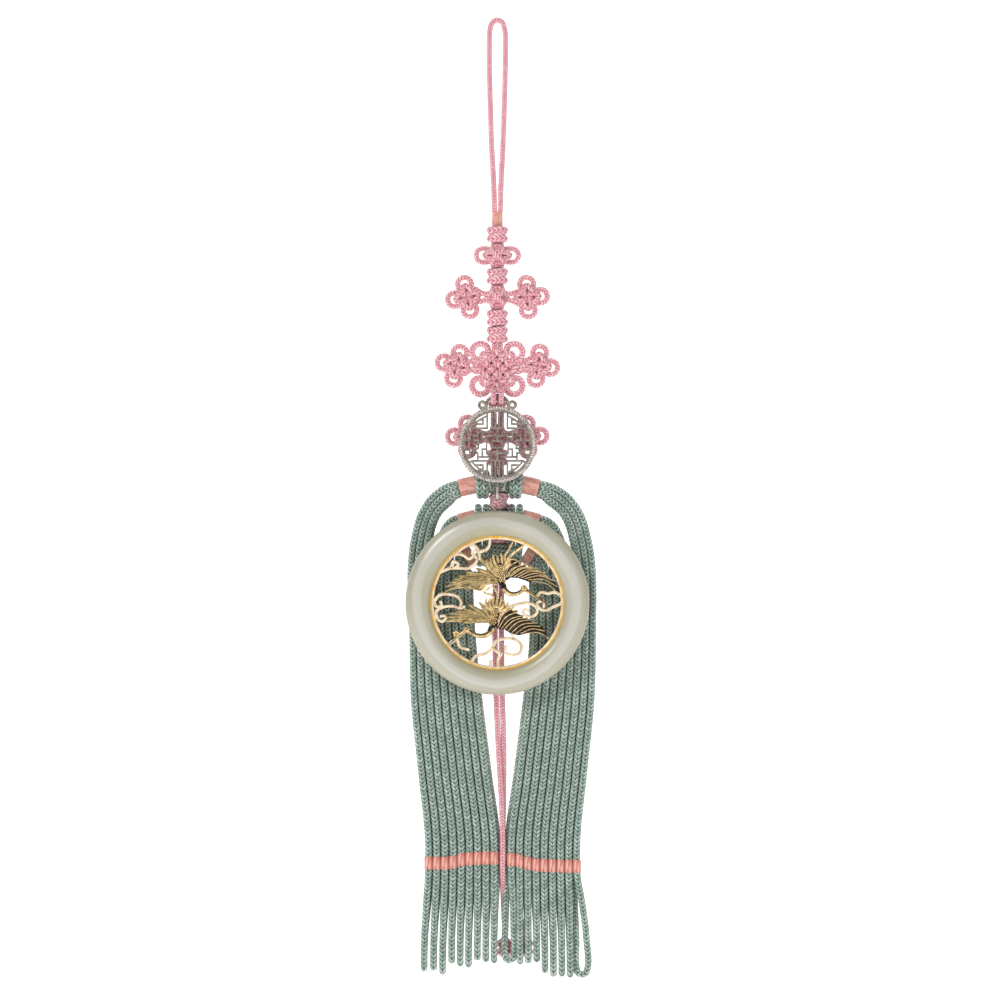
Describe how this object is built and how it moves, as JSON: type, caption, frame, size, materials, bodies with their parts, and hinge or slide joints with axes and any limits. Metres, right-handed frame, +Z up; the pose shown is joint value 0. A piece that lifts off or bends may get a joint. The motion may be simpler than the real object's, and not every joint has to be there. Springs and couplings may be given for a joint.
{
  "type": "norigae",
  "caption": "Norigae of knotted pink silk cord with a pierced silver disc, a jade ring holding a gilt crane openwork, and a green cord tassel.",
  "frame": {"origin": "inner top of the hanging loop, where it hangs", "axes": "+Z up along the norigae, -Y towards the viewer of its front, +X to the viewer's right"},
  "size_m": [0.071, 0.0216, 0.3591],
  "materials": {
    "pink_silk": "satin braid",
    "green_silk": "satin braid",
    "salmon_thread": "satin thread",
    "silver": "oxidised",
    "jade": "polished",
    "gold": "satin"
  },
  "bodies": {
    "root": {"hanging_loop": "pink_silk", "loop_binding": "salmon_thread", "round_knot_1": "pink_silk", "clover_knot": "pink_silk", "round_knot_2": "pink_silk", "wing_knot_upper": "pink_silk", "wing_clover_upper_left": "pink_silk", "wing_clover_upper_right": "pink_silk", "round_knot_3": "pink_silk", "round_knot_4": "pink_silk", "woven_knot": "pink_silk", "woven_clover_left": "pink_silk", "woven_clover_right": "pink_silk", "bail_cord_left": "pink_silk", "bail_cord_right": "pink_silk", "wing_knot_lower": "pink_silk", "wing_clover_lower_left": "pink_silk", "wing_clover_lower_right": "pink_silk", "round_knot_5": "pink_silk", "round_knot_6": "pink_silk", "round_knot_7": "pink_silk", "tassel_head_1": "green_silk", "tassel_head_2": "green_silk", "tassel_head_3": "green_silk", "thread_wrap_1_left": "salmon_thread", "thread_wrap_2_left": "salmon_thread", "thread_wrap_3_left": "salmon_thread", "thread_wrap_1_right": "salmon_thread", "thread_wrap_2_right": "salmon_thread", "thread_wrap_3_right": "salmon_thread", "strands_1_left": "green_silk", "strands_2_left": "green_silk", "strands_3_left": "green_silk", "strands_1_right": "green_silk", "strands_2_right": "green_silk", "strands_3_right": "green_silk", "loop_bands_1_left": "salmon_thread", "loop_bands_2_left": "salmon_thread", "loop_bands_3_left": "salmon_thread", "loop_bands_1_right": "salmon_thread", "loop_bands_2_right": "salmon_thread", "loop_bands_3_right": "salmon_thread", "centre_cord_left": "pink_silk", "centre_cord_right": "pink_silk", "end_knot_left": "pink_silk", "end_knot_right": "pink_silk"},
    "disc": {"silver_disc": "silver", "hanger_link": "silver"},
    "pendant": {"jade_eye": "silver", "jade_ring": "jade", "crane_openwork": "gold"}
  },
  "joints": [
    {"name": "disc_swing", "type": "hinge", "parent": "root", "child": "disc", "pos_m": [0, -0.0032, -0.13934], "axis": [-1, 0, 0], "range_deg": [0, 55]},
    {"name": "pendant_swing", "type": "hinge", "parent": "disc", "child": "pendant", "pos_m": [0, -0.00755, -0.17707], "axis": [-1, 0, 0], "range_deg": [0, 60]}
  ]
}
